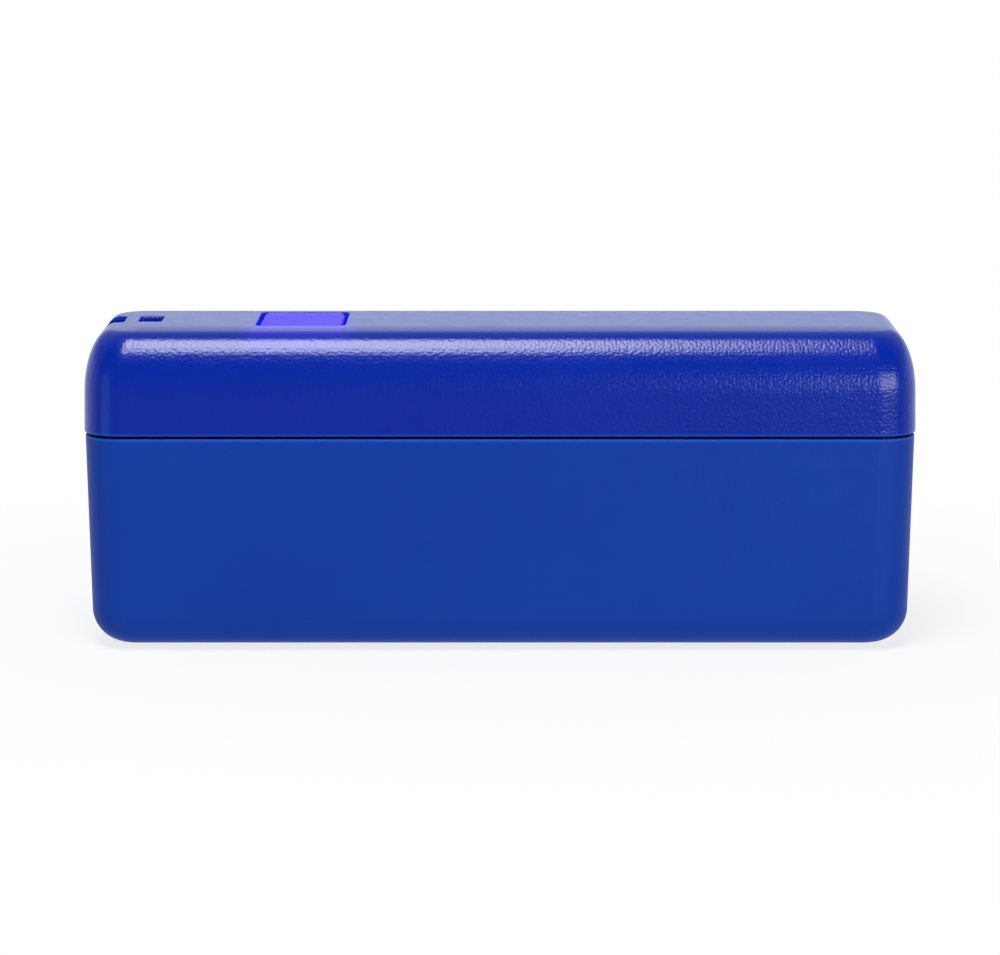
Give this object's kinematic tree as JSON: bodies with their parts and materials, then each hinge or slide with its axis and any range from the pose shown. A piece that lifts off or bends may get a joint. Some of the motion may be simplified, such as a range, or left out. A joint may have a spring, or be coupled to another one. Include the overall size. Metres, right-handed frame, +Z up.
{
  "type": "direct injection box",
  "caption": "Slim active direct injection box: two-shell blue case with lit power button, strap slot, jack and three-pin sockets, slide switches and battery door.",
  "frame": {"origin": "on the supporting surface, under the middle of the case", "axes": "+X to the right along the long side as the front is seen, +Y from the plain front to the socket side, +Z up through the button face"},
  "size_m": [0.16, 0.041, 0.062],
  "materials": {
    "blue_lid": "satin leather-grain moulding",
    "blue_body": "fine matte moulding",
    "violet_button": "translucent satin cap, lit from below",
    "black_plastic": "satin",
    "grey_plastic": "satin",
    "lamp": "clear lens",
    "circuit_board": "lacquered",
    "steel": "zinc plated",
    "nickel": "satin nickel plate",
    "pin_metal": "silver-plated brass",
    "rubber": "matte",
    "copper": "enamelled copper wire",
    "capacitor_can": "sleeved can",
    "film_red": "dipped",
    "white_plastic": "satin",
    "cable_grey": "soft insulation",
    "battery_case": "plain wrapped can",
    "foam": "foam"
  },
  "bodies": {
    "case": {"amplifier_chip_1": "black_plastic", "amplifier_chip_2": "black_plastic", "battery": "battery_case", "battery_header": "white_plastic", "battery_lead": "cable_grey", "battery_snap": "black_plastic", "board_screw_1": "steel", "board_screw_2": "steel", "board_screw_3": "steel", "board_screw_4": "steel", "button_lamp_1": "lamp", "button_lamp_2": "lamp", "case_screw_1": "steel", "case_screw_2": "steel", "case_screw_3": "steel", "case_screw_4": "steel", "electrolytic_capacitor_1": "capacitor_can", "electrolytic_capacitor_2": "capacitor_can", "film_capacitor_1": "film_red", "film_capacitor_2": "film_red", "ground_lift_ribbon": "cable_grey", "ground_lift_switch": "grey_plastic", "input_jack": "black_plastic", "input_nut": "nickel", "input_ribbon": "cable_grey", "input_washer": "nickel", "lower_shell": "blue_body", "main_board": "circuit_board", "output_header": "white_plastic", "output_ribbon": "cable_grey", "pad_ribbon": "cable_grey", "pad_switch": "grey_plastic", "rubber_foot_1": "rubber", "rubber_foot_2": "rubber", "rubber_foot_3": "rubber", "rubber_foot_4": "rubber", "strap_pocket": "blue_lid", "tact_switch": "black_plastic", "thru_jack": "black_plastic", "thru_nut": "nickel", "thru_ribbon": "cable_grey", "thru_washer": "nickel", "transformer_bobbin": "black_plastic", "transformer_coil": "copper", "transformer_core": "steel", "upper_shell": "blue_lid", "xlr_insert": "black_plastic", "xlr_pin_1": "pin_metal", "xlr_pin_2": "pin_metal", "xlr_pin_3": "pin_metal", "xlr_screw_1": "steel", "xlr_screw_2": "steel", "xlr_shell": "nickel"},
    "button": {"power_button": "violet_button", "switch_plunger": "grey_plastic"},
    "pad_key": {"pad_slider": "black_plastic"},
    "ground_lift_key": {"ground_lift_slider": "black_plastic"},
    "door": {"battery_door": "blue_body", "battery_foam": "foam"}
  },
  "joints": [
    {"name": "button_press", "type": "slide", "parent": "case", "child": "button", "axis": [0, 0, -1], "range_m": [0, 0.001], "stiffness_N_per_m": 1200, "springref_m": -0.0003},
    {"name": "pad_slide", "type": "slide", "parent": "case", "child": "pad_key", "axis": [1, 0, 0], "range_m": [0, 0.0035]},
    {"name": "ground_lift_slide", "type": "slide", "parent": "case", "child": "ground_lift_key", "axis": [1, 0, 0], "range_m": [0, 0.0035]},
    {"name": "door_hinge", "type": "hinge", "parent": "case", "child": "door", "pos_m": [-0.0564, 0, 0.0017], "axis": [0, 1, 0], "range_deg": [0, 95]}
  ]
}
